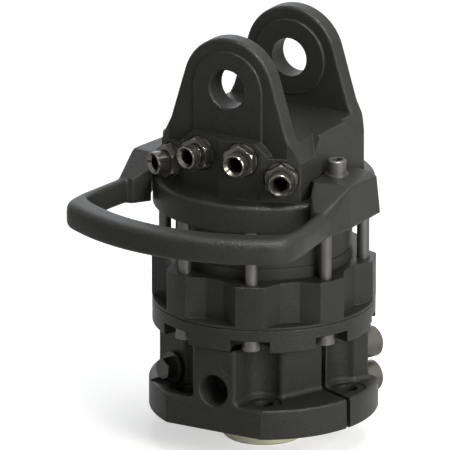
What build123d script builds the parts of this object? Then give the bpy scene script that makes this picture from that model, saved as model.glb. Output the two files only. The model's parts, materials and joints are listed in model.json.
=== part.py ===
from build123d import *
import math
import os

# A hydraulic rotator: the clevis head hangs from a crane tip, and the grapple flange
# below turns without end about +Z. Lengths are millimetres, angles are degrees.
# The origin is the centre of the flange's underside; the hoses and the guard face -Y.

# Heights of the stack, from the flange upwards
flange_thickness = 30.0
neck_height = 54.5
turning_gap = 2.0
lower_ring_thickness = 22.9
collar_height = 3.0
housing_height = 43.6
port_plate_thickness = 11.0
cam_ring_height = 43.4
top_flange_thickness = 26.4
body_height = 43.2
saddle_rise = 13.0
pin_above_saddle = 47.0

# Rotor casting: flange, clamp block and ports
flange_radius = 111.0
flange_flat = 98.0
flange_edge = 2.5
flange_bolt_hole_radius = 9.0
flange_spotface_radius = 17.0
flange_spotface_depth = 1.0
bolt_pocket_radius = 19.5
bolt_spacing_x = 86.5
bolt_spacing_y = 149.8
side_bolt_spacing = 181.0
side_bolt_offset = 5.0
block_turn = -22.5
block_half_width = 70.5
block_half_length = 75.0
block_corner = 5.0
port_block_corner = 4.0
port_block_half_width = 24.5
neck_foot_fillet = 5.0
neck_top_edge = 2.0
port_height = 41.5
port_radius = 15.15
port_thread_depth = 34.0
port_chamfer = 1.6
gallery_radius = 8.0
gallery_start = 35.0
cast_mark_radius = 5.0
cast_mark_depth = 0.9
cast_mark_place = (14.2, 66.5)
slit_width = 5.0
slit_offset = 18.0

# Clamp screws and plug in the rotor casting
clamp_screw_offset = 52.0
clamp_screw_heights = (23.5, 58.4)
clamp_screw_radius = 10.0
clamp_head_radius = 15.0
clamp_head_height = 20.0
clamp_socket_flats = 17.0
clamp_thread_length = 34.0
clamp_head_room = 1.0
clamp_screw_room = 0.5
thread_end_room = 2.0
notch_start = 34.0
notch_depth = 80.0
plug_offset = 42.2
plug_height = 41.8
plug_thread_radius = 10.0
plug_thread_length = 14.0
plug_collar_radius = 15.0
plug_collar_height = 3.5
plug_seal_height = 1.2
plug_hex_flats = 19.0
plug_hex_height = 11.5
plug_hex_edge = 1.2
plug_seat_radius = 16.0
plug_seat_reach = 24.0

# Shaft and its bearings
shaft_radius = 40.0
shaft_stub = 30.0
shaft_edge = 2.0
thrust_collar_radius = 60.0
thrust_collar_height = 10.5
spigot_radius = 30.0
spigot_height = 54.0
bush_wall = 8.0
bush_height = 18.0
bush_below_housing = 6.4
upper_bush_wall = 5.0
upper_bush_height = 15.0
upper_bush_rise = 1.0
swivel_groove_rise = (24.0, 40.0)
seal_rise = (18.0, 33.5, 49.0)
seal_groove_depth = 4.0
seal_groove_height = 4.0
race_thickness = 6.0
race_outer_radius = 64.0
race_inner_radius = 42.0
roller_radius = 4.0
roller_length = 15.0
roller_count = 18
cage_room = 0.3
cage_share = 0.45
race_step = 1.0
running_clearance = 0.05
fit_clearance = 0.02
shaft_seal_height = 9.0
shaft_seal_width = 11.0
wiper_height = 3.5

# Vane motor
stator_radius = 85.1
cam_long_radius = 66.0
cam_short_radius = 61.0
vane_rotor_radius = 58.0
vane_count = 10
vane_thickness = 5.0
vane_reach = 60.5
vane_depth = 11.0
vane_slot_depth = 13.5
side_clearance = 0.1
first_slot_turn = 18.0
key_width = 10.0
key_depth = 8.0
key_end_room = 0.5
oil_groove_width = 7.0
oil_groove_depth = 3.0
oil_drill_radius = 5.0
oil_drill_offset = 15.0

# Lower ring, scalloped housing and long bolts
ring_radius = 107.7
lobe_radius = 108.0
lobe_edge = 1.5
seam_edge = 0.8
stator_seam_depth = 0.8
stator_seam_height = 1.6
recess_floor = 94.3
recess_floor_half_width = 10.0
recess_mouth_half_width = 27.95
recess_mouth = 104.3
recess_overrun = 1.2
bolt_count = 8
bolt_circle_radius = 96.0
bolt_radius = 6.0
bolt_hole_radius = 6.6
bolt_head_radius = 9.0
bolt_head_top_radius = 8.5
bolt_head_edge = 1.2
bolt_head_height = 12.0
bolt_socket_flats = 10.0
bolt_socket_depth = 6.0
first_bolt_turn = 22.5
bolt_notch_width = 38.5
bolt_thread_length = 20.0
gasket_width = 3.0
gasket_height = 2.0
gasket_radius = 76.0

# Head casting
top_flange_radius = 107.0
top_flange_edge = 4.5
body_half_width = 77.0
body_back_radius = 97.0
body_corner = 3.0
front_nose = 87.0
front_inner_corner = (42.5, 80.4)
front_outer_corner_reach = 64.0
hump_height = 14.0
hump_top_half_width = 36.0
hump_foot_half_width = 49.0
hump_foot_rise = 1.5
pad_rise = 0.8
pad_half_depth = 26.0
pad_foot_half_depth = 38.0
pad_edge = 3.0
ear_outer_face = 69.8
ear_inner_face = 50.8
ear_radius = 50.0
ear_shoulder = (63.7, 37.7)
ear_foot_drop = 65.0
ear_edge = 3.5
ear_boss_edge = 1.5
inner_boss_edge = 1.0
spigot_room = 2.0
ear_boss_radius = 38.0
ear_boss_face = 71.5
clevis_gap = 96.6
pin_hole_radius = 19.0
pin_hole_chamfer = 1.5

# Port adapters: inner and outer pair, place on the spotface and direction from -Y
inner_adapter_place = (22.9, 83.4, 40.1)
inner_adapter_turn = 9.0
outer_adapter_place = (60.2, 72.0, 24.0)
outer_adapter_turn = 25.5
adapter_spotface_radius = 17.0
adapter_spotface_depth = 1.5
adapter_stud_radius = 10.0
adapter_stud_length = 14.0
adapter_hex_flats = 29.0
adapter_hex_height = 10.0
adapter_hex_edge = 1.5
adapter_undercut_radius = 9.6
adapter_undercut_length = 2.0
adapter_nose_radius = 10.9
adapter_nose_edge = 0.8
adapter_length = 24.0
adapter_bore_radius = 6.9
adapter_cone_radius = 9.4
adapter_cone_depth = 3.2
adapter_seal_radius = 15.8
adapter_seal_height = 1.4
adapter_drilling_radius = 6.0
adapter_drilling_depth = 12.0

# Hose guard, its two screws and washers
guard_outer_radius = 211.0
guard_bar_depth = 26.0
guard_outer_corner = 30.0
guard_inner_corner = 11.0
guard_corner_run = 31.7
guard_inner_corner_run = 24.1
guard_waist = 76.5
guard_outer_width_at_waist = 116.0
guard_outer_width_at_front = 124.0
guard_arm_thickness_at_waist = 13.0
guard_arm_thickness_at_front = 14.5
guard_arm_start = 30.0
guard_bottom = 1.5
guard_top_edge = 8.0
guard_edge = 4.0
guard_bend = 60.0
lug_height = 17.7
lug_inner_front = (81.2, 46.6)
lug_outer_front = (119.8, 43.4)
lug_step_in = (88.0, 65.2)
lug_foot = 82.0
lug_back = 15.5
lug_bevel_width = 9.5
lug_bevel_height = 4.5
lug_facet_width = 6.0
lug_facet_foot = 62.0
lug_rear_lean = 8.0
lug_gap = 1.0
guard_flange_gap = 2.0
guard_screw_place = (91.0, -19.0)
guard_screw_radius = 6.0
guard_screw_hole_radius = 6.6
guard_screw_head_radius = 9.0
guard_screw_head_height = 13.5
guard_screw_socket_flats = 10.0
guard_screw_thread_length = 18.0
guard_washer_radius = 11.0
guard_washer_height = 2.5

# Heights that follow from the stack
neck_top = flange_thickness + neck_height
ring_bottom = neck_top + turning_gap
housing_bottom = ring_bottom + lower_ring_thickness
plate_bottom = housing_bottom + housing_height
cam_bottom = plate_bottom + port_plate_thickness
head_bottom = cam_bottom + cam_ring_height
flange_top = head_bottom + top_flange_thickness
body_top = flange_top + body_height
saddle_top = body_top + saddle_rise
pin_height = saddle_top + pin_above_saddle
lug_top = flange_top + lug_height
bush_bottom = housing_bottom - bush_below_housing
race_bottom = bush_bottom + bush_height
roller_bottom = race_bottom + race_thickness
upper_race_bottom = roller_bottom + 2 * roller_radius
collar_bottom = upper_race_bottom + race_thickness
collar_top = collar_bottom + thrust_collar_height
vane_bottom = cam_bottom + side_clearance
vane_top = head_bottom - side_clearance
shaft_top = head_bottom + spigot_height
swivel_groove_heights = [head_bottom + rise for rise in swivel_groove_rise]
seal_heights = [head_bottom + rise for rise in seal_rise]
guard_low = head_bottom + guard_bottom
guard_inner_radius = guard_outer_radius - guard_bar_depth
guard_inner_width_at_waist = guard_outer_width_at_waist - guard_arm_thickness_at_waist
guard_inner_width_at_front = guard_outer_width_at_front - guard_arm_thickness_at_front

base = (Align.CENTER, Align.CENTER, Align.MIN)
near = 0.01
cutter_room = 5.0


def rod(radius, low, high, x=0.0, y=0.0):
    """A round bar along Z from one height to another."""
    return Pos(x, y, low) * Cylinder(radius, high - low, align=base)


def tube(outer, inner, low, high):
    """A ring about Z."""
    return rod(outer, low, high) - rod(inner, low, high)


def block(x_low, x_high, y_low, y_high, low, high):
    """A box between two opposite corners."""
    size = (x_high - x_low, y_high - y_low, high - low)
    return Pos(x_low, y_low, low) * Box(*size, align=(Align.MIN, Align.MIN, Align.MIN))


def around(count, piece, first=0.0):
    """Copies of a piece, evenly turned about Z."""
    return [Rot(0, 0, first + i * 360 / count) * piece for i in range(count)]


def outward_plane(x, y, z, turn):
    """A plane that faces outwards, turned by an angle from -Y towards +X."""
    across = (math.cos(math.radians(turn)), math.sin(math.radians(turn)), 0)
    out = (math.sin(math.radians(turn)), -math.cos(math.radians(turn)), 0)
    return Plane(origin=(x, y, z), x_dir=across, z_dir=out)


def stand(outline, low, high):
    """A plan outline drawn up from one height to another."""
    return Pos(0, 0, low) * extrude(outline, high - low, dir=(0, 0, 1))


def prism(points, low, high):
    """A straight prism on a plan given by its corners."""
    return stand(Polygon(*points, align=None), low, high)


def side_profile(points, y_low, y_high):
    """A shape drawn in X and Z, and extended along Y."""
    face = make_face(Polyline(*[(x, 0, z) for x, z in points], close=True))
    return Pos(0, y_low, 0) * extrude(face, y_high - y_low, dir=(0, 1, 0))


def mirrored(points):
    """An outline given for +X, completed by its mirror image."""
    return list(points) + [(-x, y) for x, y in reversed(points) if x != 0]


def hexagon(flats, low, high):
    """A hexagonal bar about Z, by its size across flats."""
    return Pos(0, 0, low) * extrude(RegularPolygon(flats / 2, 6, major_radius=False), high - low)


def cap_screw(radius, thread_end, head_radius, head_height, socket_flats):
    """A socket cap screw along Z, with its seat at height 0 and its head above."""
    edge = head_radius / 10
    head = rod(head_radius, 0, head_height)
    head = chamfer(head.edges().group_by(Axis.Z)[-1], edge)
    socket = hexagon(socket_flats, head_height * 0.45, head_height)
    return head + rod(radius, -thread_end, 0) - socket


def bolt_places():
    """The plan places of the four corner holes of the grapple flange."""
    return [(sx * bolt_spacing_x / 2, sy * bolt_spacing_y / 2) for sx in (-1, 1) for sy in (-1, 1)]


def side_bolt_places():
    return [(sx * side_bolt_spacing / 2, side_bolt_offset) for sx in (-1, 1)]


def adapter_planes():
    """The four adapter seats, from left to right."""
    planes = {}
    for side, word in ((-1, "left"), (1, "right")):
        for name, place, turn in (
            ("outer", outer_adapter_place, outer_adapter_turn),
            ("inner", inner_adapter_place, inner_adapter_turn),
        ):
            x, y, rise = place
            planes[f"{name}_{word}"] = outward_plane(side * x, -y, flange_top + rise, side * turn)
    return planes


def sharp_corners(outline, least_turn=20):
    """The corners of a plan, without the points where it runs on smoothly."""
    corners = []
    for vertex in outline.vertices():
        spot = Vector(vertex.X, vertex.Y, 0)
        ends = [(edge, end) for edge in outline.edges() for end in (0, 1)]
        ways = [edge % end for edge, end in ends if (edge @ end - spot).length < near]
        turn = ways[0].get_angle(ways[1])
        if min(turn, 180 - turn) > least_turn:
            corners.append(vertex)
    return corners


def neck_plan():
    """The plan of the clamp block: a turned square with a port block and six bolt pockets."""
    plan = Rot(0, 0, block_turn) * Rectangle(2 * block_half_width, 2 * block_half_length)
    plan += Rectangle(2 * port_block_half_width, 2 * flange_flat)
    width = 2 * bolt_pocket_radius
    for x, y in bolt_places():
        slot = Rectangle(width, flange_radius, align=(Align.CENTER, Align.MIN if y > 0 else Align.MAX))
        plan -= Pos(x, y) * (Circle(bolt_pocket_radius) + slot)
    for x, y in side_bolt_places():
        slot = Rectangle(flange_radius, width, align=(Align.MIN if x > 0 else Align.MAX, Align.CENTER))
        plan -= Pos(x, y) * (Circle(bolt_pocket_radius) + slot)
    return fillet([v for v in sharp_corners(plan) if abs(v.Y) < flange_flat - 1], block_corner)


def rotor_flange():
    """The turning casting: a bolting flange and a clamp block that grips the shaft."""
    disc = Circle(flange_radius) & Rectangle(2 * flange_radius, 2 * flange_flat)
    body = stand(disc, 0, flange_thickness) + stand(neck_plan(), 0, neck_top)
    foot = [e for e in body.edges() if is_level(e, flange_thickness) and is_inside(e)]
    body = fillet(foot, neck_foot_fillet)
    port_edges = [e for e in body.edges() if is_upright(e) and abs(e.center().Y) > flange_flat - near]
    body = fillet([e for e in port_edges if e.center().Z > flange_thickness], port_block_corner)
    rim = [e for e in body.edges() if is_level(e, 0) or is_level(e, flange_thickness)]
    body = fillet([e for e in rim if not is_inside(e)], flange_edge)
    body = fillet(body.edges().group_by(Axis.Z)[-1], neck_top_edge)

    for x, y in bolt_places() + side_bolt_places():
        body -= rod(flange_bolt_hole_radius, 0, flange_thickness, x, y)
        seat = flange_thickness - flange_spotface_depth
        body -= rod(flange_spotface_radius, seat, flange_thickness + neck_foot_fillet, x, y)

    body -= rod(shaft_radius + fit_clearance, 0, neck_top)
    slit = block(0, flange_radius, slit_offset - slit_width / 2, slit_offset + slit_width / 2, 0, neck_top)
    body -= Rot(0, 0, block_turn) * slit

    notch = block(notch_start, flange_radius, notch_depth, flange_radius, 0, flange_thickness)
    body -= Rot(0, 0, block_turn) * notch
    for height in clamp_screw_heights:
        seat = clamp_screw_plane(height)
        body -= seat * rod(clamp_head_radius + clamp_head_room, 0, clamp_head_height)
        passage = block_half_length - slit_offset
        body -= seat * rod(clamp_screw_radius + clamp_screw_room, -passage, 0)
        body -= seat * rod(clamp_screw_radius + fit_clearance, -passage - clamp_thread_length, 0)

    seat = plug_plane()
    body -= seat * rod(plug_thread_radius + fit_clearance, -plug_thread_length - thread_end_room, 0)
    body -= seat * rod(plug_seat_radius, 0, plug_seat_reach)

    for turn in (0, 180):
        port = outward_plane(0, 0, port_height, 0)
        mouth = rod(port_radius, flange_flat - port_thread_depth, flange_flat)
        flare = Pos(0, 0, flange_flat - port_chamfer) * Cone(
            port_radius, port_radius + port_chamfer, port_chamfer, align=base
        )
        gallery = rod(gallery_radius, gallery_start, flange_flat)
        body -= Rot(0, 0, turn) * (port * (mouth + flare + gallery))
    mark = outward_plane(cast_mark_place[0], -flange_flat, cast_mark_place[1], 0)
    body -= mark * rod(cast_mark_radius, -cast_mark_depth, 0)
    return body


def is_level(edge, height):
    """Whether an edge lies flat at a height."""
    return abs((edge @ 0.25).Z - height) < near and abs((edge @ 0.75).Z - height) < near


def is_inside(edge):
    """Whether an edge of the flange's top lies at the neck and not at the rim."""
    middle = edge @ 0.5
    return middle.X ** 2 + middle.Y ** 2 < (flange_radius - 1) ** 2 and abs(middle.Y) < flange_flat - near


def clamp_screw_plane(height):
    """The seat of a clamp screw's head, on the back of the clamp block."""
    frame = Rot(0, 0, block_turn)
    spot = frame * Pos(clamp_screw_offset, block_half_length, height)
    out = Plane((0, 0, 0)).rotated((0, 0, block_turn)).y_dir
    return Plane(origin=spot.position, x_dir=(0, 0, 1), z_dir=out)


def plug_plane():
    """The plug's seat, on the front of the clamp block."""
    frame = Rot(0, 0, block_turn)
    spot = frame * Pos(-plug_offset, -block_half_length, plug_height)
    out = Plane((0, 0, 0)).rotated((0, 0, block_turn)).y_dir
    return Plane(origin=spot.position, x_dir=(0, 0, 1), z_dir=-out)


def clamp_screws():
    """Two socket screws that pull the slit shut on the shaft."""
    reach = block_half_length - slit_offset + clamp_thread_length - thread_end_room
    screw = cap_screw(clamp_screw_radius, reach, clamp_head_radius, clamp_head_height, clamp_socket_flats)
    return [clamp_screw_plane(height) * screw for height in clamp_screw_heights]


def port_plug():
    """The hexagon plug in the clamp block, with its collar."""
    collar_end = plug_seal_height + plug_collar_height
    plug = rod(plug_collar_radius, plug_seal_height, collar_end)
    head = hexagon(plug_hex_flats, collar_end, collar_end + plug_hex_height)
    crown = rod(plug_hex_flats / math.sqrt(3), collar_end, collar_end + plug_hex_height)
    crown = chamfer(crown.edges().group_by(Axis.Z)[-1], plug_hex_edge)
    plug += head & crown
    plug += rod(plug_thread_radius, -plug_thread_length, plug_seal_height)
    return plug_plane() * plug


def plug_seal():
    return plug_plane() * tube(plug_collar_radius - 1, plug_thread_radius + fit_clearance, 0, plug_seal_height)


def shaft():
    """One forging: the stub below, the clamped journal, the thrust collar and the swivel."""
    body = rod(shaft_radius, -shaft_stub, head_bottom)
    body = chamfer(body.edges().group_by(Axis.Z)[0], shaft_edge)
    body += rod(thrust_collar_radius, collar_bottom, collar_top)
    body += rod(spigot_radius, head_bottom, shaft_top)
    for turn, height in ((0, swivel_groove_heights[0]), (180, swivel_groove_heights[1])):
        groove_floor = spigot_radius - oil_groove_depth
        body -= tube(spigot_radius + 1, groove_floor, height, height + oil_groove_width)
        drill = rod(oil_drill_radius, port_height, height + oil_groove_width / 2, 0, -oil_drill_offset)
        cross = outward_plane(0, 0, port_height, 0) * rod(gallery_radius - 1, oil_drill_offset, shaft_radius + 1)
        feed_height = height + oil_groove_width / 2
        feed = outward_plane(0, 0, feed_height, 0) * rod(oil_drill_radius / 2, oil_drill_offset, spigot_radius)
        body -= Rot(0, 0, turn) * (drill + cross + feed)
    for turn in (0, 180):
        body -= Rot(0, 0, turn) * key_space(key_width, shaft_radius + 1)
    return body


def key_space(width, reach):
    """The room for one drive key between the shaft and the vane rotor."""
    return block(shaft_radius - key_depth / 2, reach, -width / 2, width / 2, vane_bottom, head_bottom)


def drive_keys():
    reach = shaft_radius + key_depth / 2
    key = key_space(key_width - fit_clearance, reach - fit_clearance)
    low, high = vane_bottom + key_end_room, vane_top - key_end_room
    return around(2, key & rod(vane_rotor_radius, low, high))


def vane_rotor():
    """The slotted drum that the vanes slide in."""
    drum = tube(vane_rotor_radius, shaft_radius + fit_clearance, vane_bottom, vane_top)
    slot_floor = vane_rotor_radius - vane_slot_depth
    half = vane_thickness / 2
    slot = block(slot_floor, vane_rotor_radius + 1, -half, half, vane_bottom, vane_top)
    for cut in around(vane_count, slot, first_slot_turn):
        drum -= cut
    for turn in (0, 180):
        drum -= Rot(0, 0, turn) * key_space(key_width, shaft_radius + key_depth / 2)
    return drum


def vanes():
    half = vane_thickness / 2 - fit_clearance
    low, high = vane_bottom + side_clearance, vane_top - side_clearance
    vane = block(vane_reach - vane_depth, vane_reach, -half, half, low, high)
    return around(vane_count, vane, first_slot_turn)


def cam_ring():
    """The stator ring round the vanes, with its two-lobed bore."""
    ring = rod(stator_radius, cam_bottom, head_bottom)
    bore = Pos(0, 0, cam_bottom) * extrude(Ellipse(cam_long_radius, cam_short_radius), cam_ring_height)
    return ring - bore - gasket_groove(cam_bottom) - locating_step(cam_bottom)


def locating_step(height):
    """The shallow groove that shows as a seam round the stator."""
    return tube(stator_radius + 1, stator_radius - stator_seam_depth, height, height + stator_seam_height)


def gasket_groove(height):
    inner = gasket_radius - gasket_width / 2
    return tube(inner + gasket_width, inner, height, height + gasket_height)


def face_gaskets():
    """Square-section rings that seal the stacked faces."""
    inner = gasket_radius - gasket_width / 2 + fit_clearance
    outer = gasket_radius + gasket_width / 2 - fit_clearance
    heights = (housing_bottom, plate_bottom, cam_bottom, head_bottom)
    return [tube(outer, inner, z, z + gasket_height - fit_clearance) for z in heights]


def lower_port_plate():
    """The plate that closes the vane chamber from below."""
    plate = rod(stator_radius, plate_bottom, cam_bottom)
    plate -= rod(shaft_radius + running_clearance, plate_bottom, cam_bottom)
    return plate - gasket_groove(plate_bottom)


def scallop_recess():
    """The flat-floored hollow between two bolt lobes, drawn round -Y."""
    wall_x = recess_mouth_half_width - recess_floor_half_width
    wall_y = recess_mouth - recess_floor
    out_x = recess_floor_half_width + wall_x * recess_overrun
    out_y = recess_floor + wall_y * recess_overrun
    points = [(recess_floor_half_width, -recess_floor), (out_x, -out_y), (out_x, -lobe_radius - cutter_room)]
    low = housing_bottom + collar_height
    return prism(mirrored(points), low, plate_bottom)


def bearing_housing():
    """The scalloped ring that carries the thrust bearing."""
    body = rod(ring_radius, housing_bottom, housing_bottom + collar_height)
    body = chamfer(body.edges().group_by(Axis.Z)[0], seam_edge)
    lobes = rod(lobe_radius, housing_bottom + collar_height, plate_bottom)
    lobes = fillet(lobes.edges().group_by(Axis.Z)[-1], lobe_edge)
    for cut in around(bolt_count, scallop_recess()):
        lobes -= cut
    body += lobes
    body -= rod(shaft_radius + bush_wall + fit_clearance, housing_bottom, race_bottom)
    body -= rod(race_outer_radius + fit_clearance, race_bottom, plate_bottom)
    body -= gasket_groove(housing_bottom)
    for cut in around(bolt_count, bolt_hole(bolt_hole_radius, housing_bottom, plate_bottom), first_bolt_turn):
        body -= cut
    return body


def bolt_hole(radius, low, high):
    return rod(radius, low, high, 0, -bolt_circle_radius)


def lower_ring():
    """The seal carrier below the housing, notched for the bolt heads."""
    ring = rod(ring_radius, ring_bottom, housing_bottom)
    ring = fillet(ring.edges().group_by(Axis.Z)[0], lobe_edge)
    ring = chamfer(ring.edges().group_by(Axis.Z)[-1], seam_edge)
    ring -= rod(shaft_radius + 1, ring_bottom, housing_bottom)
    seat = shaft_radius + shaft_seal_width
    ring -= rod(seat + fit_clearance, ring_bottom + wiper_height, bush_bottom)
    ring -= rod(shaft_radius + bush_wall + fit_clearance, bush_bottom, housing_bottom)
    half = bolt_notch_width / 2
    seat_height = ring_bottom + bolt_head_height
    notch_inner = bolt_circle_radius - half
    notch = block(-half, half, -ring_radius - cutter_room, -bolt_circle_radius, ring_bottom, seat_height)
    notch += rod(half, ring_bottom, seat_height, 0, -bolt_circle_radius)
    for cut in around(bolt_count, notch, first_bolt_turn):
        ring -= cut
    for cut in around(bolt_count, bolt_hole(bolt_hole_radius, ring_bottom, housing_bottom), first_bolt_turn):
        ring -= cut
    return ring


def long_bolts():
    """Long socket screws that clamp the stack to the head casting, heads down."""
    seat = ring_bottom + bolt_head_height
    head = Cone(bolt_head_radius, bolt_head_top_radius, bolt_head_height, align=base)
    head = fillet(head.edges().group_by(Axis.Z)[0], bolt_head_edge)
    head = Pos(0, -bolt_circle_radius, ring_bottom) * head
    socket = hexagon(bolt_socket_flats, ring_bottom, ring_bottom + bolt_socket_depth)
    socket = Pos(0, -bolt_circle_radius, 0) * socket
    shank = bolt_hole(bolt_radius, seat, head_bottom + bolt_thread_length)
    return around(bolt_count, head + shank - socket, first_bolt_turn)


def shaft_seal():
    """The lip seal that keeps the oil in, as a plain ring."""
    low = ring_bottom + wiper_height
    return tube(shaft_radius + shaft_seal_width, shaft_radius + running_clearance, low, low + shaft_seal_height)


def lower_bush():
    return tube(shaft_radius + bush_wall, shaft_radius + running_clearance, bush_bottom, race_bottom)


def lower_race():
    return tube(race_outer_radius, race_inner_radius, race_bottom, roller_bottom - fit_clearance)


def upper_race():
    low = upper_race_bottom + fit_clearance
    return tube(race_outer_radius - race_step, race_inner_radius - race_step, low, collar_bottom)


def roller_middle():
    return (race_outer_radius + race_inner_radius) / 2


def thrust_rollers():
    """The rollers between the two races, each on a radial axis."""
    middle = roller_bottom + roller_radius
    start = roller_middle() - roller_length / 2
    roller = outward_plane(0, 0, middle, 0) * rod(roller_radius, start, start + roller_length)
    return around(roller_count, roller)


def roller_cage():
    middle = roller_bottom + roller_radius
    half = roller_radius * cage_share
    cage = tube(race_outer_radius - race_step, race_inner_radius, middle - half, middle + half)
    start = roller_middle() - roller_length / 2 - cage_room
    end = roller_middle() + roller_length / 2 + cage_room
    side = roller_radius + cage_room
    pocket = block(-side, side, -end, -start, middle - half, middle + half)
    for cut in around(roller_count, pocket):
        cage -= cut
    return cage


def rotary_seals():
    """Three square rings that part the two swivel grooves."""
    outer = spigot_radius + seal_groove_depth - fit_clearance
    return [tube(outer, spigot_radius + running_clearance, z, z + seal_groove_height) for z in seal_heights]


def upper_bush():
    outer = spigot_radius + upper_bush_wall
    low = head_bottom + upper_bush_rise
    return tube(outer, spigot_radius + running_clearance, low, low + upper_bush_height)


def body_plan():
    """The plan of the head above its flange: faceted in front, flat sides, round back."""
    front = [
        (front_inner_corner[0], -front_inner_corner[1]),
        (body_half_width, -front_outer_corner_reach),
        (body_half_width, body_back_radius),
    ]
    outline = Polygon(*([(0, -front_nose)] + mirrored(front)), align=None)
    outline &= Circle(body_back_radius) + Pos(0, -body_back_radius) * Rectangle(
        3 * body_back_radius, 2 * body_back_radius
    )
    corners = [v for v in outline.vertices() if abs(abs(v.X) - body_half_width) < near]
    return fillet(corners, body_corner)


def ear_outline():
    """The ear's face in X and Z: an arch round the pin with sloping sides."""
    shoulder = Vector(ear_shoulder[0], -ear_shoulder[1])
    distance = shoulder.length
    lean = math.atan2(shoulder.Y, shoulder.X) + math.acos(ear_radius / distance)
    touch = (ear_radius * math.cos(lean), ear_radius * math.sin(lean))
    side = [(body_half_width, -ear_foot_drop), (shoulder.X, shoulder.Y), touch]
    arc_top = ThreePointArc(touch, (0, ear_radius), (-touch[0], touch[1]))
    right = Polyline(*side)
    left = Polyline(*[(-x, y) for x, y in side])
    foot = Line(side[0], (-side[0][0], side[0][1]))
    return make_face([right, arc_top, left, foot])


def ear_side(height):
    """How far the ear's sloping side stands out at a height near its foot."""
    share = (height - (pin_height - ear_foot_drop)) / (ear_foot_drop - ear_shoulder[1])
    return body_half_width + share * (ear_shoulder[0] - body_half_width)


def upright(face, y_face, depth):
    """A face drawn round the pin centre, stood up in the XZ plane and thickened along +Y."""
    plane = Plane(origin=(0, y_face, pin_height), x_dir=(1, 0, 0), z_dir=(0, -1, 0))
    return extrude(plane * face, -depth)


def ear():
    """The front ear, with its arched outer boss and round inner boss."""
    plate = upright(ear_outline(), -ear_outer_face, ear_outer_face - ear_inner_face)
    face_edges = plate.faces().sort_by(Axis.Y)[0].edges() + plate.faces().sort_by(Axis.Y)[-1].edges()
    low = pin_height - ear_foot_drop
    plate = fillet([e for e in face_edges if e.center().Z > low + 1], ear_edge)
    foot = pin_height - body_top
    arch = Circle(ear_boss_radius) + Pos(0, -foot / 2) * Rectangle(2 * ear_boss_radius, foot)
    boss = upright(arch, -ear_boss_face, ear_boss_face - ear_outer_face + ear_edge)
    outer_edges = boss.faces().sort_by(Axis.Y)[0].edges()
    boss = fillet([e for e in outer_edges if e.center().Z > body_top + 1], ear_boss_edge)
    inner = upright(Circle(ear_boss_radius), -ear_inner_face - ear_edge, ear_inner_face + ear_edge - clevis_gap / 2)
    inner = chamfer(inner.edges().filter_by(GeomType.CIRCLE).sort_by(Axis.Y)[-1], inner_boss_edge)
    return plate + boss + inner


def saddle_pad():
    """The raised seat between the ears, with its leaning front and back."""
    low, high = pin_height - ear_foot_drop, saddle_top + pad_rise
    half = [(pad_foot_half_depth, low), (pad_half_depth, high)]
    outline = half + [(-y, z) for y, z in reversed(half)]
    face = make_face(Polyline(*[(0, y, z) for y, z in outline], close=True))
    pad = Pos(-body_half_width, 0, 0) * extrude(face, 2 * body_half_width, dir=(1, 0, 0))
    return fillet(pad.edges().filter_by(Axis.Y).group_by(Axis.Z)[-1], pad_edge)


def head_casting():
    """The fixed casting: top flange, port body, saddle and the two clevis ears."""
    flange = rod(top_flange_radius, head_bottom, flange_top)
    flange = fillet(flange.edges().group_by(Axis.Z)[-1], top_flange_edge)
    plan = body_plan()
    tall = stand(plan, flange_top - 1, pin_height + 2 * ear_radius)
    ear_foot = pin_height - ear_foot_drop
    slope = [(ear_side(body_top), body_top), (body_half_width, ear_foot), (body_half_width, flange_top - 1)]
    body = tall & side_profile(mirrored(slope[::-1]), -body_back_radius, body_back_radius)

    hump_top = body_top + hump_height
    hump_points = [
        (hump_foot_half_width, body_top - 1),
        (hump_foot_half_width, body_top + hump_foot_rise),
        (hump_top_half_width, hump_top),
    ]
    hump = side_profile(mirrored(hump_points), -front_nose - 1, -ear_inner_face)
    saddle_points = [(body_half_width, ear_foot), (ear_side(saddle_top), saddle_top)]
    saddle = side_profile(mirrored(saddle_points), -ear_outer_face + ear_edge, ear_outer_face - ear_edge)
    front_ear = ear()
    back_ear = Rot(0, 0, 180) * front_ear
    casting = flange + body + (tall & (hump + saddle + saddle_pad() + front_ear + back_ear))

    hole = outward_plane(0, 0, pin_height, 0) * rod(pin_hole_radius, -ear_boss_face, ear_boss_face)
    casting -= hole
    flare = Cone(pin_hole_radius, pin_hole_radius + pin_hole_chamfer, pin_hole_chamfer, align=base)
    for turn in (0, 180):
        mouth = outward_plane(0, -ear_boss_face + pin_hole_chamfer, pin_height, 0) * flare
        casting -= Rot(0, 0, turn) * mouth

    casting -= rod(spigot_radius + running_clearance, head_bottom, shaft_top + spigot_room)
    bush_top = head_bottom + upper_bush_rise + upper_bush_height
    casting -= rod(spigot_radius + upper_bush_wall + fit_clearance, head_bottom, bush_top)
    for height in seal_heights:
        casting -= rod(spigot_radius + seal_groove_depth, height, height + seal_groove_height + fit_clearance)
    for height in swivel_groove_heights:
        casting -= rod(spigot_radius + oil_groove_depth, height, height + oil_groove_width)
    casting -= gasket_groove(head_bottom)

    high = head_bottom + bolt_thread_length + thread_end_room
    for cut in around(bolt_count, bolt_hole(bolt_radius + fit_clearance, head_bottom, high), first_bolt_turn):
        casting -= cut
    for side in (-1, 1):
        x, y = guard_screw_place
        deep = guard_screw_thread_length + thread_end_room
        casting -= rod(guard_screw_radius + fit_clearance, flange_top - deep, flange_top, side * x, y)

    for seat in adapter_planes().values():
        casting -= seat * rod(adapter_spotface_radius, -adapter_spotface_depth, adapter_hex_height)
        stud_end = -adapter_stud_length - thread_end_room
        casting -= seat * rod(adapter_stud_radius + fit_clearance, stud_end, 0)
        casting -= seat * rod(adapter_drilling_radius, stud_end - adapter_drilling_depth, 0)
    return casting


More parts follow.
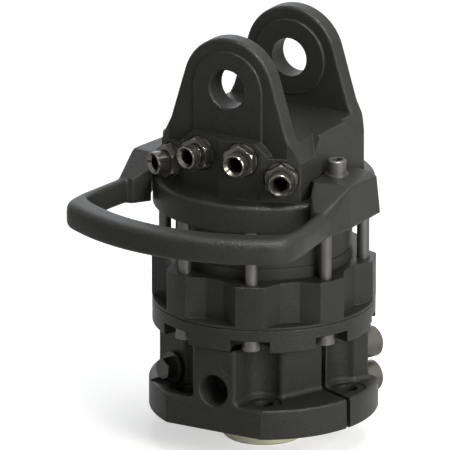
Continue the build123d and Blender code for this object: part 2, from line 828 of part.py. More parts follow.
def port_adapter():
    """A hose adapter along Z: stud below its seat, hexagon, undercut and coned nose."""
    seat = adapter_seal_height - adapter_spotface_depth
    hex_end = seat + adapter_hex_height
    end = adapter_length - adapter_spotface_depth
    body = rod(adapter_stud_radius, -adapter_stud_length, seat)
    hex_body = Rot(0, 0, 30) * hexagon(adapter_hex_flats, seat, hex_end)
    crown = rod(adapter_hex_flats / math.sqrt(3), seat, hex_end)
    crown = chamfer(crown.edges().group_by(Axis.Z)[-1], adapter_hex_edge)
    body += hex_body & crown
    body += rod(adapter_undercut_radius, hex_end, hex_end + adapter_undercut_length)
    nose = rod(adapter_nose_radius, hex_end + adapter_undercut_length, end)
    body += chamfer(nose.edges().group_by(Axis.Z)[-1], adapter_nose_edge)
    body -= rod(adapter_bore_radius, -adapter_stud_length, end)
    cone = Cone(adapter_bore_radius, adapter_cone_radius, adapter_cone_depth, align=base)
    return body - Pos(0, 0, end - adapter_cone_depth) * cone


def adapter_seals():
    """Flat bonded washers under the four adapters."""
    low = -adapter_spotface_depth
    ring = tube(adapter_seal_radius, adapter_stud_radius + fit_clearance, low, low + adapter_seal_height)
    return [seat * ring for seat in adapter_planes().values()]


def guard_outline(radius, at_waist, at_front, corner, run):
    """One side of the guard's bar in plan: two arms with a waist, closed by an arc in front."""
    corner_reach = math.sqrt(radius ** 2 - at_front ** 2)
    side = [
        (at_waist, -guard_arm_start),
        (at_waist, -guard_waist),
        (at_front, run - corner_reach),
        (at_front, -radius),
    ]
    outline = Polygon(*mirrored(side), align=None) & Circle(radius)
    in_front = [v for v in outline.vertices() if v.Y < 1 - corner_reach]
    outline = fillet(in_front, corner)
    bends = [v for v in sharp_corners(outline, 2) if v.Y < 1 - guard_waist]
    return fillet(bends, guard_bend)


def guard_loop():
    """The cast bar that bows round the hoses, with its two arms."""
    outer = guard_outline(
        guard_outer_radius,
        guard_outer_width_at_waist,
        guard_outer_width_at_front,
        guard_outer_corner,
        guard_corner_run,
    )
    inner = guard_outline(
        guard_inner_radius,
        guard_inner_width_at_waist,
        guard_inner_width_at_front,
        guard_inner_corner,
        guard_inner_corner_run,
    )
    slab = stand(outer, guard_low, flange_top)
    slab = fillet(bar_rims(slab, slab).group_by(Axis.Z)[-1], guard_top_edge)
    slab = fillet(bar_rims(slab, slab).group_by(Axis.Z)[0], guard_edge)
    space = stand(inner, guard_low, flange_top)
    loop = slab - space
    return fillet(bar_rims(loop, space), guard_edge)


def bar_rims(body, wall):
    """The level edges of the guard's bar that lie against a wall, without its rear ends."""
    rims = [e for e in body.edges() if not is_upright(e) and e.center().Y < -guard_arm_start - 1]
    return ShapeList(e for e in rims if wall.distance_to(e @ 0.5) < near)


def is_upright(edge):
    """Whether an edge runs mostly along Z."""
    return abs(edge.tangent_at(0.5).Z) > 0.9


def cut_above(origin, first, second):
    """All that lies above a plane through three points."""
    start = Vector(*origin)
    across = Vector(*first) - start
    upwards = across.cross(Vector(*second) - start)
    if upwards.Z < 0:
        upwards = upwards * -1
    half = 2 * guard_outer_radius
    return Plane(origin=start, x_dir=across, z_dir=upwards) * Box(half, half, half, align=base)


def guard_lug():
    """The right-hand lug: a block on the top flange with a ramp down to the arm."""
    inner_x, inner_y = lug_inner_front
    outer_x, outer_y = lug_outer_front
    lug = prism(
        [
            (body_half_width, -inner_y),
            (inner_x, -inner_y),
            (lug_step_in[0], -lug_step_in[1]),
            (guard_inner_width_at_waist - guard_edge, -lug_foot),
            (guard_outer_width_at_waist, -lug_foot),
            (outer_x, -outer_y),
            (outer_x, lug_back),
            (body_half_width, lug_back + lug_rear_lean),
        ],
        guard_low,
        lug_top,
    )
    corner = (outer_x, -outer_y, lug_top)
    foot = (outer_x - lug_facet_width, -lug_foot, flange_top)
    lug -= cut_above((inner_x, -inner_y, lug_top), corner, foot)
    rear = (outer_x - lug_bevel_width, lug_back, lug_top)
    lug -= cut_above(corner, rear, (outer_x, lug_back, lug_top - lug_bevel_height))
    lug -= cut_above(corner, foot, (outer_x, -lug_facet_foot, (guard_low + flange_top) / 2))
    back_top = (outer_x, lug_back - lug_rear_lean, lug_top)
    return lug - cut_above(back_top, (body_half_width, lug_back, lug_top), (outer_x, lug_back, guard_low))


def hose_guard():
    """The whole guard casting: loop and both lugs, seated on the top flange."""
    lug = guard_lug()
    guard = guard_loop() + lug + mirror(lug, about=Plane.YZ)
    guard -= rod(top_flange_radius + guard_flange_gap, guard_low, flange_top)
    guard -= stand(offset(body_plan(), lug_gap), flange_top, lug_top)
    for side in (-1, 1):
        x, y = guard_screw_place
        guard -= rod(guard_screw_hole_radius, flange_top, lug_top, side * x, y)
    return guard


def guard_screws():
    reach = guard_washer_height + lug_height + guard_screw_thread_length
    screw = cap_screw(
        guard_screw_radius, reach, guard_screw_head_radius, guard_screw_head_height, guard_screw_socket_flats
    )
    x, y = guard_screw_place
    seat = lug_top + guard_washer_height
    return [Pos(side * x, y, seat) * screw for side in (-1, 1)]


def guard_washers():
    x, y = guard_screw_place
    ring = tube(guard_washer_radius, guard_screw_hole_radius, lug_top, lug_top + guard_washer_height)
    return [Pos(side * x, y, 0) * ring for side in (-1, 1)]


def save(name, shape):
    """Write one sub-part, or a group of equal pieces, to its own file."""
    group = shape if isinstance(shape, list) else [shape]
    solids = [solid for piece in group for solid in piece.solids()]
    result = solids[0] if len(solids) == 1 else Compound(children=solids)
    result.label = name
    export_step(result, f"parts/{name}.step")


pieces = {
    "head_casting": head_casting,
    "hose_guard": hose_guard,
    "guard_screws": guard_screws,
    "guard_washers": guard_washers,
    "adapter_seals": adapter_seals,
    "cam_ring": cam_ring,
    "lower_port_plate": lower_port_plate,
    "bearing_housing": bearing_housing,
    "lower_ring": lower_ring,
    "long_bolts": long_bolts,
    "face_gaskets": face_gaskets,
    "shaft_seal": shaft_seal,
    "lower_bush": lower_bush,
    "upper_bush": upper_bush,
    "lower_race": lower_race,
    "rotary_seals": rotary_seals,
    "rotor_flange": rotor_flange,
    "shaft": shaft,
    "clamp_screws": clamp_screws,
    "port_plug": port_plug,
    "plug_seal": plug_seal,
    "upper_race": upper_race,
    "thrust_rollers": thrust_rollers,
    "roller_cage": roller_cage,
    "vane_rotor": vane_rotor,
    "vanes": vanes,
    "drive_keys": drive_keys,
}

os.makedirs("parts", exist_ok=True)
for name, make in pieces.items():
    save(name, make())
for name, seat in adapter_planes().items():
    save(f"adapter_{name}", seat * port_adapter())
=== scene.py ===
# %% [markdown]
# # A hydraulic rotator, dressed for a studio picture
# A rotator hangs from a crane tip by its clevis head and turns a grapple that is bolted to the
# flange below. The construction model gives every rigid piece. This lesson loads it as a fixed
# frame, sets up the studio, gives each piece the surface that its maker gave it, and adds the few
# forms that the model leaves plain.

# %% Load the frame
import json
import math

import bmesh
import bpy
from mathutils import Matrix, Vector


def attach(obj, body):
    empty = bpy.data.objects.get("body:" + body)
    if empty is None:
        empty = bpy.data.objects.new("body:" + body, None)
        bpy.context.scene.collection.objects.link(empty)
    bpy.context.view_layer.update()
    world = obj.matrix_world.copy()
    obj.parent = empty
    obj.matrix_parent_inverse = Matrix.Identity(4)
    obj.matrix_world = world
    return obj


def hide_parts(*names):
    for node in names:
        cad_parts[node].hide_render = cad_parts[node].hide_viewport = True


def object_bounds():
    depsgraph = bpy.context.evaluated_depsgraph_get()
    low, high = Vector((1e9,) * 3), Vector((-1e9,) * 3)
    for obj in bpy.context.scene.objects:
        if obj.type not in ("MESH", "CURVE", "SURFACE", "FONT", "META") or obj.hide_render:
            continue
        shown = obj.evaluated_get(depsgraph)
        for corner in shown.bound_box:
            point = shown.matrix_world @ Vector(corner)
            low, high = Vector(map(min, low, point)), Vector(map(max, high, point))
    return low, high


MM = 0.001

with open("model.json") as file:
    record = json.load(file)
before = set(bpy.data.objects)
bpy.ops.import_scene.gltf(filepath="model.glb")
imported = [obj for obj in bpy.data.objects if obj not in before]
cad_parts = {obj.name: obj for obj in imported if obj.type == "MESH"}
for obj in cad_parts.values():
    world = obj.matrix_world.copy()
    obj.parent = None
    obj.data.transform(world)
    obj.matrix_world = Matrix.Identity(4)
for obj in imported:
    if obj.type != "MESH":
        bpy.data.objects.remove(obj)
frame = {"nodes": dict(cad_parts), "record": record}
nodes = frame["nodes"]
cad_low, cad_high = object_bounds()
print("pieces in the frame:", len(nodes))
print("box:", [round(v, 4) for v in (*cad_low, *cad_high)])

# %% [markdown]
# ## The camera
# The object looks as if it had been drawn without perspective, seen from 30 degrees to the right
# of its front and about 18 degrees above it. A very long lens a long way off gives that flatness,
# while other views can still be taken with the same lens. The distance follows from the scale:
# how many picture points one millimetre of the object covers. The turning axis stands in one
# column of the picture, and the flange's underside crosses it in one row, which gives the aim.

# %% Two helpers for cameras and lamps


def new_object(name, data):
    """An object that shows the given data, linked to the scene."""
    thing = bpy.data.objects.new(name, data)
    bpy.context.scene.collection.objects.link(thing)
    return thing


def place_facing(thing, place, target):
    """Put a camera or a lamp at a place and turn it towards a target."""
    thing.location = place
    thing.rotation_mode = "QUATERNION"
    thing.rotation_quaternion = (Vector(place) - target).to_track_quat("Z", "Y")


# %% Place the camera
PICTURE = 450
POINTS_PER_MM = 1.04
LENS_MM = 1000.0
SENSOR_MM = 36.0
AZIMUTH = math.radians(30.0)
ELEVATION = math.radians(18.3)
AXIS_COLUMN = 264.0
AXIS_BASE_ROW = 403.6
CLIP_DISTANCES = 2

towards_viewer = Vector((math.sin(AZIMUTH), -math.cos(AZIMUTH), 0))
to_the_right = Vector((math.cos(AZIMUTH), math.sin(AZIMUTH), 0))
back = towards_viewer * math.cos(ELEVATION) + Vector((0, 0, math.sin(ELEVATION)))
aside = (PICTURE / 2 - AXIS_COLUMN) / POINTS_PER_MM * MM
height = (AXIS_BASE_ROW - PICTURE / 2) / (POINTS_PER_MM * math.cos(ELEVATION)) * MM
aim = to_the_right * aside + Vector((0, 0, height))
distance = PICTURE / SENSOR_MM * LENS_MM / POINTS_PER_MM * MM

camera = new_object("camera", bpy.data.cameras.new("camera"))
camera.data.lens = LENS_MM
camera.data.sensor_width = SENSOR_MM
camera.data.clip_end = CLIP_DISTANCES * distance
place_facing(camera, aim + back * distance, aim)
bpy.context.scene.camera = camera
print("camera distance:", round(distance, 2), "m")

# %% [markdown]
# ## The studio
# A pale floor runs far out under the object. The camera, reflections and glass see a plain white
# room, while the light that falls on matt surfaces from it is dimmer, so that black castings stay
# black. The floor has a glow of its own for the camera, and a faint one in reflections. It lights
# nothing, so the floor looks pale without throwing light up at the flange.

# %% One way to add a node


def add_node(tree, kind, settings=None, **inputs):
    """Add a shader or geometry node, set its properties, and feed its inputs."""
    node = tree.nodes.new(kind)
    for name, value in (settings or {}).items():
        setattr(node, name, value)
    for name, value in inputs.items():
        key = int(name[1:]) if name[0] == "i" and name[1:].isdigit() else name.replace("_", " ")
        socket = node.inputs[key]
        if isinstance(value, bpy.types.NodeSocket):
            tree.links.new(value, socket)
        else:
            socket.default_value = value
    return node


# %% Which rays see the background


def seen_directly(tree):
    """1 for rays that show the background: from the camera, in a reflection or through glass."""
    path = add_node(tree, "ShaderNodeLightPath")
    either = add_node(tree, "ShaderNodeMath", {"operation": "MAXIMUM"},
                      i0=path.outputs["Is Camera Ray"], i1=path.outputs["Is Glossy Ray"])
    any_of_three = add_node(tree, "ShaderNodeMath", {"operation": "MAXIMUM"},
                            i0=either.outputs[0], i1=path.outputs["Is Transmission Ray"])
    return any_of_three.outputs[0]


# %% The room around the object
WHITE = (1.0, 1.0, 1.0, 1.0)
ROOM_COLOUR = (1.0, 0.98, 0.95, 1.0)
ROOM_LIGHT = 0.14


def studio_world():
    """White to look at, and dimmer as a source of light."""
    world = bpy.data.worlds.new("studio")
    world.use_nodes = True
    tree = world.node_tree
    tree.nodes.clear()
    dim = add_node(tree, "ShaderNodeBackground", Color=ROOM_COLOUR, Strength=ROOM_LIGHT)
    plain = add_node(tree, "ShaderNodeBackground", Color=WHITE, Strength=1.0)
    mix = add_node(tree, "ShaderNodeMixShader", i0=seen_directly(tree), i1=dim.outputs[0],
                   i2=plain.outputs[0])
    add_node(tree, "ShaderNodeOutputWorld", Surface=mix.outputs[0])
    bpy.context.scene.world = world


studio_world()
print("room light:", ROOM_LIGHT)

# %% The floor
FLOOR_GAP = 0.4 * MM
FLOOR_SIZE = 60.0
FLOOR_COLOUR = (0.7, 0.7, 0.7, 1.0)
REFLECTED_GLOW = 0.1
CAMERA_GLOW = 0.45


def floor_finish():
    """A pale matt floor whose glow only the camera and reflections see."""
    material = bpy.data.materials.new("pale floor")
    material.use_nodes = True
    tree = material.node_tree
    tree.nodes.clear()
    matt = add_node(tree, "ShaderNodeBsdfDiffuse", Color=FLOOR_COLOUR)
    path = add_node(tree, "ShaderNodeLightPath")
    strength = add_node(tree, "ShaderNodeMath", {"operation": "MULTIPLY_ADD"},
                        i0=path.outputs["Is Camera Ray"], i1=CAMERA_GLOW, i2=REFLECTED_GLOW)
    glow = add_node(tree, "ShaderNodeEmission", Color=WHITE, Strength=strength.outputs[0])
    both = add_node(tree, "ShaderNodeAddShader", i0=matt.outputs[0], i1=glow.outputs[0])
    mix = add_node(tree, "ShaderNodeMixShader", i0=seen_directly(tree), i1=matt.outputs[0],
                   i2=both.outputs[0])
    add_node(tree, "ShaderNodeOutputMaterial", Surface=mix.outputs[0])
    return material


def studio_floor():
    """One large square just under the lowest point of the object."""
    half = FLOOR_SIZE / 2
    z = cad_low.z - FLOOR_GAP
    mesh = bpy.data.meshes.new("floor")
    corners = [(-half, -half, z), (half, -half, z), (half, half, z), (-half, half, z)]
    mesh.from_pydata(corners, [], [(0, 1, 2, 3)])
    mesh.materials.append(floor_finish())
    return new_object("floor", mesh)


floor = studio_floor()
print("floor:", FLOOR_SIZE, "m wide")

# %% [markdown]
# ## The lamps
# Five square lamps face the middle of the object. A warm one, low on the right, draws the
# right-hand faces. A wide one overhead and a small one high on the right lift the level and
# sloping faces. A cool one far behind puts a blue sheen on level faces, as a window would. The
# last is left out of matt light and shows only in gloss: it draws the thin bright line along the
# rim of the head and the sparkle on the guard, and leaves the faces round them as dark as before.

# %% Set up the lamps
OBJECT_MIDDLE = Vector((0, 0, 0.18))
PLAIN_LIGHT = (1.0, 1.0, 1.0)
WARM_LIGHT = (1.0, 0.985, 0.93)
COOL_LIGHT = (0.72, 0.84, 1.0)
LAMPS = {  # place and side in metres, watts, colour
    "key_right": ((1.8, -0.65, 0.75), 1.0, 44, WARM_LIGHT),
    "overhead": ((0.2, 0.2, 2.1), 1.3, 26, PLAIN_LIGHT),
    "high_right": ((1.05, -0.75, 1.85), 0.5, 7, PLAIN_LIGHT),
    "cool_back": ((-1.1, 1.5, 0.9), 1.3, 4, COOL_LIGHT),
    "glint": ((0.9, -0.66, 1.92), 0.45, 82, PLAIN_LIGHT),
}
GLOSS_ONLY = {"glint"}

for lamp_name, (place, side, watts, colour) in LAMPS.items():
    light = bpy.data.lights.new(lamp_name, "AREA")
    light.shape = "SQUARE"
    light.size = side
    light.energy = watts
    light.color = colour
    lamp = new_object(lamp_name, light)
    place_facing(lamp, place, OBJECT_MIDDLE)
    lamp.visible_diffuse = lamp_name not in GLOSS_ONLY
bpy.context.scene.view_settings.view_transform = "Standard"
print("lamps:", ", ".join(LAMPS))

# %% [markdown]
# ## Finishes
# Each finish starts from the real material: cast iron under a satin black coat, zinc-plated
# steel, turned steel, bronze and nitrile rubber. Patterns read Object coordinates, in metres, so
# one millimetre of grain on the object is a known number in the pattern's scale.

# %% Colours and the start of a finish


def srgb(hex_text):
    """Turn a written sRGB colour into the linear one that shaders use."""
    parts = [int(hex_text[i : i + 2], 16) / 255 for i in (1, 3, 5)]
    linear = [c / 12.92 if c <= 0.04045 else ((c + 0.055) / 1.055) ** 2.4 for c in parts]
    return (*linear, 1.0)


def new_finish(name):
    """An empty material with a principled shader, and its tree, shader and coordinates."""
    material = bpy.data.materials.new(name)
    material.use_nodes = True
    tree = material.node_tree
    tree.nodes.clear()
    shader = add_node(tree, "ShaderNodeBsdfPrincipled")
    add_node(tree, "ShaderNodeOutputMaterial", Surface=shader.outputs[0])
    coordinates = add_node(tree, "ShaderNodeTexCoord")
    return material, tree, shader, coordinates.outputs["Object"]


def wire(tree, shader, colour, roughness, normal):
    """Link the three patterns that every finish has to its shader."""
    for name, pattern in (("Base Color", colour), ("Roughness", roughness), ("Normal", normal)):
        tree.links.new(pattern, shader.inputs[name])


# %% Patterns and soft edges
BEVEL_SAMPLES = 6


def noise(tree, place, size_mm, detail=3.0, roughness=0.5):
    """Fractal noise whose largest features measure about a given size."""
    node = add_node(tree, "ShaderNodeTexNoise", Vector=place, Scale=1.0 / (size_mm * MM),
                    Detail=detail, Roughness=roughness)
    return node.outputs[0]


def spread(tree, value, low, high, to_low, to_high):
    """Stretch one range of a pattern over another range."""
    node = add_node(tree, "ShaderNodeMapRange", Value=value, From_Min=low, From_Max=high,
                    To_Min=to_low, To_Max=to_high)
    return node.outputs[0]


def blend_colours(tree, amount, first, second):
    """Mix two colours, written as hex or taken from a node, by a pattern."""
    first, second = (srgb(c) if isinstance(c, str) else c for c in (first, second))
    node = add_node(tree, "ShaderNodeMix", {"data_type": "RGBA"}, i0=amount, i6=first, i7=second)
    return node.outputs[2]


def soft_normal(tree, radius_mm):
    """A normal that turns smoothly round a sharp edge, as if it had been broken with a file."""
    node = add_node(tree, "ShaderNodeBevel", {"samples": BEVEL_SAMPLES}, Radius=radius_mm * MM)
    return node.outputs[0]


# %% [markdown]
# ## The black castings
# The head, the housing, the lower ring, the guard and the flange are iron castings under one
# satin black coat. Sand leaves pebbles about a millimetre across, and the coat follows them, so a
# lamp breaks up into a fine sparkle. The tone drifts in slow clouds. Small flecks, where the coat
# lies thin, are a little paler and less glossy. The specular level is below that of a glossy
# paint, because satin black scatters most of what it reflects.

# %% Satin black coat on cast iron
COAT_SPECULAR = 0.16
PEBBLE_MM = 1.2
PEBBLE_DEPTH_MM = 0.7
FLECK_MM = 3.0
CAST_CLOUD_MM = 42
CAST_EDGE_MM = 1.3
FLECK_MOST = 0.2
CAST_GLOSSIEST, CAST_DULLEST = 0.27, 0.34


def coated_casting():
    """Sand pebbles under a coat that drifts in tone and has paler flecks."""
    material, tree, shader, place = new_finish("satin black coat on cast iron")
    pebbles = noise(tree, place, PEBBLE_MM, detail=2.0, roughness=0.6)
    clouds = noise(tree, place, CAST_CLOUD_MM, detail=4.0, roughness=0.6)
    flecks = noise(tree, place, FLECK_MM, detail=2.0, roughness=0.7)
    tone = blend_colours(tree, clouds, "#232320", "#2b2b27")
    thin = spread(tree, flecks, 0.5, 0.75, 0.0, FLECK_MOST)
    skin = add_node(tree, "ShaderNodeBump", Strength=1.0, Distance=PEBBLE_DEPTH_MM * MM,
                    Height=pebbles, Normal=soft_normal(tree, CAST_EDGE_MM))
    wire(tree, shader, blend_colours(tree, thin, tone, "#40403b"),
         spread(tree, flecks, 0.3, 0.7, CAST_GLOSSIEST, CAST_DULLEST), skin.outputs[0])
    shader.inputs["Specular IOR Level"].default_value = COAT_SPECULAR
    return material


finishes = {"cast_black": coated_casting()}
print("casting coat: pebbles of", PEBBLE_MM, "mm")

# %% [markdown]
# The stator rings are turned on a lathe before they are coated, so they carry no pebbles. What is
# left is a faint banding along the axis, one band for each step of the tool. A real step is about
# a quarter of a millimetre, too fine to show here, so the bands are drawn coarser.

# %% Satin black coat on turned steel
BAND_MM = 1.2
BAND_DEPTH_MM = 0.05
BAND_STRENGTH = 0.12
TURNED_CLOUD_MM = 30
TURNED_EDGE_MM = 0.6
TURNED_GLOSSIEST, TURNED_DULLEST = 0.38, 0.5


def coated_turning():
    """Fine bands from the lathe under a coat that drifts in tone and gloss."""
    material, tree, shader, place = new_finish("satin black coat on turned steel")
    clouds = noise(tree, place, TURNED_CLOUD_MM, detail=3.0, roughness=0.55)
    axes = add_node(tree, "ShaderNodeSeparateXYZ", Vector=place)
    phase = add_node(tree, "ShaderNodeMath", {"operation": "MULTIPLY"}, i0=axes.outputs["Z"],
                     i1=math.tau / (BAND_MM * MM))
    bands = add_node(tree, "ShaderNodeMath", {"operation": "SINE"}, i0=phase.outputs[0])
    skin = add_node(tree, "ShaderNodeBump", Strength=BAND_STRENGTH, Distance=BAND_DEPTH_MM * MM,
                    Height=bands.outputs[0], Normal=soft_normal(tree, TURNED_EDGE_MM))
    wire(tree, shader, blend_colours(tree, clouds, "#242422", "#2d2d29"),
         spread(tree, clouds, 0.3, 0.7, TURNED_GLOSSIEST, TURNED_DULLEST), skin.outputs[0])
    shader.inputs["Specular IOR Level"].default_value = COAT_SPECULAR
    return material


turned_coat = coated_turning()
print("turned coat: bands of", BAND_MM, "mm")

# %% [markdown]
# ## Bare and plated metals
# Screws, adapters and the shaft are metal that shows. Plating keeps the fine marks of the tool
# under it, and hands and weather leave slow blotches. All of them share one recipe, in which the
# two tones, the roughness and the metallic share change. Plate that has dulled scatters some light
# like a paint, so its metallic share is below one. Rubber takes the same recipe with none at all.

# %% The recipe for metals and rubber
BLOTCH_MM = 14
TOOL_MARK_MM = 2.5
TOOL_MARK_DEPTH_MM = 0.02
TOOL_MARK_STRENGTH = 0.1
BROKEN_EDGE_MM = 0.4
GLOSS_DRIFT = 0.03


def worked_surface(name, light, dark, roughness, metallic):
    """Tool marks and slow blotches of two tones, from bare metal to rubber."""
    material, tree, shader, place = new_finish(name)
    blotch = noise(tree, place, BLOTCH_MM)
    marks = noise(tree, place, TOOL_MARK_MM)
    skin = add_node(tree, "ShaderNodeBump", Strength=TOOL_MARK_STRENGTH,
                    Distance=TOOL_MARK_DEPTH_MM * MM, Height=marks,
                    Normal=soft_normal(tree, BROKEN_EDGE_MM))
    wire(tree, shader, blend_colours(tree, blotch, dark, light),
         spread(tree, blotch, 0.3, 0.7, roughness - GLOSS_DRIFT, roughness + GLOSS_DRIFT),
         skin.outputs[0])
    shader.inputs["Metallic"].default_value = metallic
    return material


# %% Metals, bronze and rubber
WORKED = {  # slot: name, light tone, dark tone, roughness, metallic share
    # Bright plate on turned steel: warm grey, with sharp glints on every edge.
    "plated_adapter": ("zinc-nickel plate on turned steel", "#6b6961", "#5e5c55", 0.17, 0.85),
    # Zinc on rolled rod: a plain pale grey that spreads a lamp wide.
    "zinc_fastener": ("zinc plate on rolled steel", "#62615e", "#555450", 0.42, 0.7),
    "bright_screw": ("bright zinc plate", "#5c5a54", "#514f49", 0.36, 0.7),
    # Phosphate is nearly as dark as the coat, with a dull metal gleam.
    "plug_steel": ("dull phosphated steel", "#3f3e39", "#35342f", 0.3, 0.4),
    # Oil on a turned face is pale and a little yellow.
    "shaft_steel": ("turned steel with an oil film", "#e6e3cd", "#d3d0b6", 0.45, 0.5),
    "bearing_steel": ("ground bearing steel", "#b9babc", "#a4a6a9", 0.22, 1.0),
    "bronze": ("machined tin bronze", "#b07c3f", "#936530", 0.38, 1.0),
    "seal_rubber": ("nitrile rubber", "#1c1c1c", "#141414", 0.6, 0.0),
}
for slot, recipe in WORKED.items():
    finishes[slot] = worked_surface(*recipe)
print("finishes:", len(finishes) + 1)

# %% Give every carried-over piece its finish
TURNED = {"cam_ring", "lower_port_plate"}


def paint(piece, finish):
    """Give a piece one finish in place of any that it has."""
    piece.data.materials.clear()
    piece.data.materials.append(finish)


slots = {part["node"]: part["material_slot"] for part in frame["record"]["subparts"]}
for node_name, piece in nodes.items():
    paint(piece, turned_coat if node_name in TURNED else finishes[slots[node_name]])
print("pieces with a finish:", len(nodes))

# %% [markdown]
# ## The hose guard
# The guard is one casting: a bar bent round the hoses, with an arm and a lug at each end. The
# construction model gives it modest corner radii, while the real bar was poured almost round, so
# that hoses slide on it. A copy of its mesh is laid on a fine even grid, and only the bar is then
# relaxed, which turns its edges into one soft curve and leaves the arms' ends and lugs alone.

# %% Turn modifiers into a plain mesh


def settle(piece):
    """Give a piece the mesh that its modifiers make, and take them off."""
    evaluated = piece.evaluated_get(bpy.context.evaluated_depsgraph_get())
    mesh = bpy.data.meshes.new_from_object(evaluated)
    piece.modifiers.clear()
    piece.data = mesh


# %% Relax the bar of the hose guard
WELD_REACH = 0.01 * MM
GRID_STEP = 1.0 * MM
BAR_FULL = -92 * MM
BAR_NONE = -58 * MM
SKIN_STEPS = 1
RELAX_STEPS = 50
RELAX_FACTOR = 0.5


def on_grid(name, mesh):
    """A new object with a copy of a mesh, closed up and laid on an even grid."""
    piece = new_object(name, mesh.copy())
    weld = piece.modifiers.new("weld", "WELD")
    weld.merge_threshold = WELD_REACH
    grid = piece.modifiers.new("grid", "REMESH")
    grid.mode = "VOXEL"
    grid.voxel_size = GRID_STEP
    settle(piece)
    return piece


def mark_bar(guard):
    """A vertex group that grows from nothing on the arms to all of the bar in front."""
    bar = guard.vertex_groups.new(name="bar")
    for vertex in guard.data.vertices:
        share = (BAR_NONE - vertex.co.y) / (BAR_NONE - BAR_FULL)
        if share > 0:
            bar.add([vertex.index], min(share, 1.0), "REPLACE")
    return bar.name


def relaxed_guard():
    """A copy of the guard whose bar is as round as the cast one."""
    guard = on_grid("guard_casting", nodes["hose_guard"].data)
    for group, steps in (("", SKIN_STEPS), (mark_bar(guard), RELAX_STEPS)):
        relax = guard.modifiers.new("relax", "SMOOTH")
        relax.factor = RELAX_FACTOR
        relax.iterations = steps
        relax.vertex_group = group
    settle(guard)
    guard.data.shade_smooth()
    return guard


guard_casting = relaxed_guard()
paint(guard_casting, finishes["cast_black"])
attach(guard_casting, "stator")
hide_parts("hose_guard")
print("guard casting:", len(guard_casting.data.polygons), "faces")

# %% [markdown]
# ## Where two bores meet
# The upper clamp screw's passage runs so close to a bolt pocket that the wall between them is
# open for a few millimetres. On the real casting that wall is whole, so a thin piece of the
# pocket's own wall closes it. It bends round the pocket and ends inside the metal.

# %% Close the wall of the bolt pocket
POCKET_AT = (90.5, 5.0)
POCKET_RADIUS = 19.5
POCKET_TURN = 157.5
PATCH_PROUD = 0.05
PATCH_DEPTH = 0.6
PATCH_SWEEP = 34.0
PATCH_FOOT = 48.0
PATCH_TOP = 69.0
PATCH_STEPS = 24


def patch_points():
    """The plate's points in fours: inner foot, inner top, outer foot and outer top."""
    points = []
    for step in range(PATCH_STEPS + 1):
        turn = math.radians(POCKET_TURN + PATCH_SWEEP * (step / PATCH_STEPS - 0.5))
        for radius in (POCKET_RADIUS - PATCH_PROUD, POCKET_RADIUS + PATCH_DEPTH):
            x = POCKET_AT[0] + radius * math.cos(turn)
            y = POCKET_AT[1] + radius * math.sin(turn)
            points += [(x * MM, y * MM, level * MM) for level in (PATCH_FOOT, PATCH_TOP)]
    return points


def patch_faces():
    """Two end faces, and four faces between each four points and the next."""
    section = (0, 1, 3, 2)
    last = len(section) * PATCH_STEPS
    faces = [section, (last, last + 2, last + 3, last + 1)]
    for now in range(0, last, len(section)):
        for first, second in zip(section, (*section[1:], section[0])):
            after = now + len(section)
            faces.append((now + first, after + first, after + second, now + second))
    return faces


def pocket_wall():
    """A bent plate that lies on the pocket's wall and reaches a little way into the metal."""
    mesh = bpy.data.meshes.new("pocket_wall")
    mesh.from_pydata(patch_points(), [], patch_faces())
    shape = bmesh.new()
    shape.from_mesh(mesh)
    bmesh.ops.recalc_face_normals(shape, faces=shape.faces)
    shape.to_mesh(mesh)
    shape.free()
    return new_object("pocket_wall", mesh)


wall = pocket_wall()
paint(wall, finishes["cast_black"])
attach(wall, "rotor")
print("pocket wall:", len(wall.data.polygons), "faces")

# %% [markdown]
# ## Threads in the two ports
# Each port of the clamp block carries a pipe thread, which the construction model leaves as a
# plain bore. A thread is one ridge that winds round the wall, so it is a spiral with a small
# six-sided section swept along it, half of it sunk in the metal. Geometry Nodes draw the spiral
# from its pitch and number of turns, and stand a copy in each port.

# %% Helpers for Geometry Nodes


def new_tree(name, sizes):
    """A Geometry Nodes group with one geometry output and named numbers to set."""
    tree = bpy.data.node_groups.new(name, "GeometryNodeTree")
    tree.interface.new_socket("Geometry", in_out="OUTPUT", socket_type="NodeSocketGeometry")
    keys = {}
    for size in sizes:
        socket = tree.interface.new_socket(size, in_out="INPUT", socket_type="NodeSocketFloat")
        keys[size] = socket.identifier
    return tree, keys


def grow(name, tree, keys, sizes):
    """Run a tree on an empty mesh, and return the result as a plain mesh object."""
    seed = new_object(name, bpy.data.meshes.new(name))
    modifier = seed.modifiers.new("grow", "NODES")
    modifier.node_group = tree
    for size, value in sizes.items():
        modifier[keys[size]] = float(value)
    settle(seed)
    return seed


# %% Port threads
PORT_RADIUS = 15.15
PORT_FACE = 98.0
PORT_HEIGHT = 41.5
THREAD_PITCH = 2.309
THREAD_TURNS = 12
THREAD_START = 2.6
POINTS_PER_TURN = 48
RIDGE_RADIUS = 0.75
RIDGE_SIDES = 6

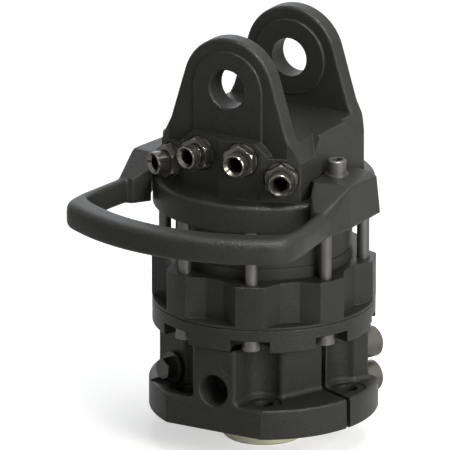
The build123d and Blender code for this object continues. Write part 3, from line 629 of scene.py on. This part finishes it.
THREAD_SIZES = {
    "Radius": PORT_RADIUS * MM,
    "Pitch": THREAD_PITCH * MM,
    "Turns": THREAD_TURNS,
    "Ridge": RIDGE_RADIUS * MM,
    "Place": -(PORT_FACE - THREAD_START) * MM + THREAD_PITCH * THREAD_TURNS * MM,
    "Height": PORT_HEIGHT * MM,
}


def thread_tree():
    """A helical ridge that stands in the front port, and its copy in the rear one."""
    tree, keys = new_tree("port_threads", THREAD_SIZES)
    given = add_node(tree, "NodeGroupInput").outputs
    length = add_node(tree, "ShaderNodeMath", {"operation": "MULTIPLY"}, i0=given["Pitch"],
                      i1=given["Turns"])
    spiral = add_node(tree, "GeometryNodeCurveSpiral", Resolution=POINTS_PER_TURN,
                      Rotations=given["Turns"], Start_Radius=given["Radius"],
                      End_Radius=given["Radius"], Height=length.outputs[0])
    section = add_node(tree, "GeometryNodeCurvePrimitiveCircle", Resolution=RIDGE_SIDES,
                       Radius=given["Ridge"])
    ridge = add_node(tree, "GeometryNodeCurveToMesh", Curve=spiral.outputs[0],
                     Profile_Curve=section.outputs[0], Fill_Caps=True)
    place = add_node(tree, "ShaderNodeCombineXYZ", Y=given["Place"], Z=given["Height"])
    front = add_node(tree, "GeometryNodeTransform", Geometry=ridge.outputs[0],
                     Translation=place.outputs[0], Rotation=(math.radians(90), 0, 0))
    rear = add_node(tree, "GeometryNodeTransform", Geometry=front.outputs[0],
                    Rotation=(0, 0, math.pi))
    both = add_node(tree, "GeometryNodeJoinGeometry")
    for thread in (front, rear):
        tree.links.new(thread.outputs[0], both.inputs[0])
    real = add_node(tree, "GeometryNodeRealizeInstances", Geometry=both.outputs[0])
    coated = add_node(tree, "GeometryNodeSetMaterial", Geometry=real.outputs[0],
                      Material=finishes["cast_black"])
    add_node(tree, "NodeGroupOutput", Geometry=coated.outputs[0])
    return tree, keys


port_threads = grow("port_threads", *thread_tree(), THREAD_SIZES)
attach(port_threads, "rotor")
thread_front = min(vertex.co.y for vertex in port_threads.data.vertices)
print("port threads:", len(port_threads.data.polygons), "faces")
print("thread begins at y", round(thread_front / MM, 1), "mm")
